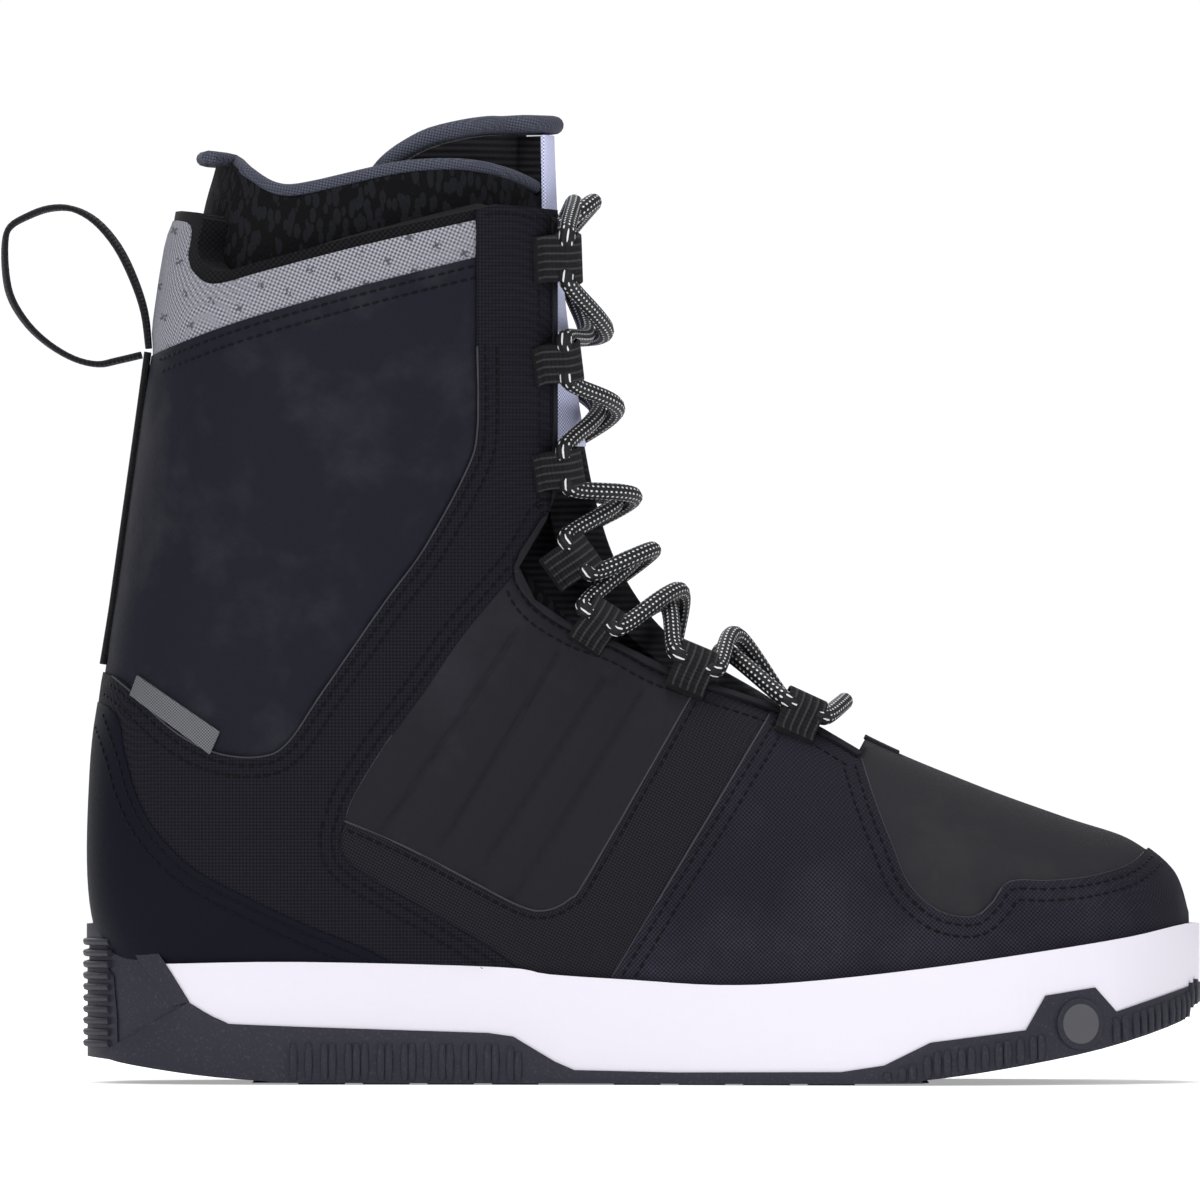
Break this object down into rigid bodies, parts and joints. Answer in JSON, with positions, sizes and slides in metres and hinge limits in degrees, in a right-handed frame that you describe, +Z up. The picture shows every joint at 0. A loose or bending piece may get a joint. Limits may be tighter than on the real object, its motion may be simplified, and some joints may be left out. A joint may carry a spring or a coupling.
{
  "type": "snowboard boot",
  "caption": "Lace-up snowboard boot with a sewn upper, padded liner and tongue, pull loop, foam midsole and lugged rubber outsole with a heel cup.",
  "frame": {"origin": "centre of the bounding box at the plane the sole rests on", "axes": "+X to the toe, +Y to the big-toe side of this right boot, +Z up the shaft"},
  "size_m": [0.3348, 0.118, 0.2706],
  "materials": {
    "outsole_rubber": "moulded black rubber",
    "midsole_foam": "moulded white foam with a fine stipple",
    "disc_plastic": "grey moulded plastic",
    "shank_steel": "plain spring steel",
    "cushion_foam": "soft gel rubber",
    "board": "fibre board",
    "footbed_foam": "brushed cloth over foam",
    "toe_nubuck": "matt nubuck",
    "vamp_weave": "fine coated weave",
    "quarter_weave": "coated weave",
    "midfoot_synthetic": "matt synthetic with pressed grooves",
    "overlay_weave": "coarse twill",
    "counter_synthetic": "smooth matt synthetic",
    "ankle_nubuck": "matt nubuck",
    "collar_mesh": "grey spacer mesh",
    "lining": "black lining cloth on foam",
    "webbing": "black woven webbing",
    "label": "plain grey tab",
    "stiffener": "pressed thermoplastic board",
    "liner_knit": "black diagonal knit on foam",
    "piping": "slate piping",
    "tongue_cloth": "black ribbed cloth",
    "tongue_white": "white woven cloth",
    "lace_cord": "black round cord with light flecks",
    "aglet": "clear-coated black tip"
  },
  "bodies": {
    "boot": {"outsole": "outsole_rubber", "tread_lugs": "outsole_rubber", "midsole": "midsole_foam", "heel_cup": "outsole_rubber", "disc_lateral": "disc_plastic", "disc_medial": "disc_plastic", "shank": "shank_steel", "heel_cushion": "cushion_foam", "lasting_board": "board", "footbed": "footbed_foam", "toe_panel": "toe_nubuck", "vamp": "vamp_weave", "quarter_lateral": "quarter_weave", "quarter_medial": "quarter_weave", "midfoot_panel_lateral": "midfoot_synthetic", "midfoot_panel_medial": "midfoot_synthetic", "strap_overlay_lateral": "overlay_weave", "strap_overlay_medial": "overlay_weave", "heel_counter": "counter_synthetic", "ankle_panel_lateral": "ankle_nubuck", "ankle_panel_medial": "ankle_nubuck", "collar_mesh": "collar_mesh", "collar_binding": "lining", "eyestay_lateral": "webbing", "eyestay_medial": "webbing", "back_strip": "webbing", "rear_label": "label", "throat_patch": "webbing", "shell_lining_lateral": "lining", "shell_lining_medial": "lining", "heel_stiffener": "stiffener", "toe_puff": "stiffener", "liner": "liner_knit", "liner_binding": "piping", "lace_loops_lateral": "webbing", "lace_loops_medial": "webbing", "lace": "lace_cord", "aglets": "aglet"},
    "tongue": {"tongue": "tongue_cloth", "tongue_face": "tongue_white", "tongue_binding": "piping"},
    "pull_loop": {"pull_loop": "webbing"}
  },
  "joints": [
    {"name": "tongue_swing", "type": "hinge", "parent": "boot", "child": "tongue", "pos_m": [0.084, 0, 0.081], "axis": [0, 1, 0], "range_deg": [-4, 0], "stiffness_Nm_per_rad": 6},
    {"name": "pull_loop_swing", "type": "hinge", "parent": "boot", "child": "pull_loop", "pos_m": [-0.1282, 0, 0.2036], "axis": [0, 1, 0], "range_deg": [-50, 6], "stiffness_Nm_per_rad": 0.08}
  ]
}
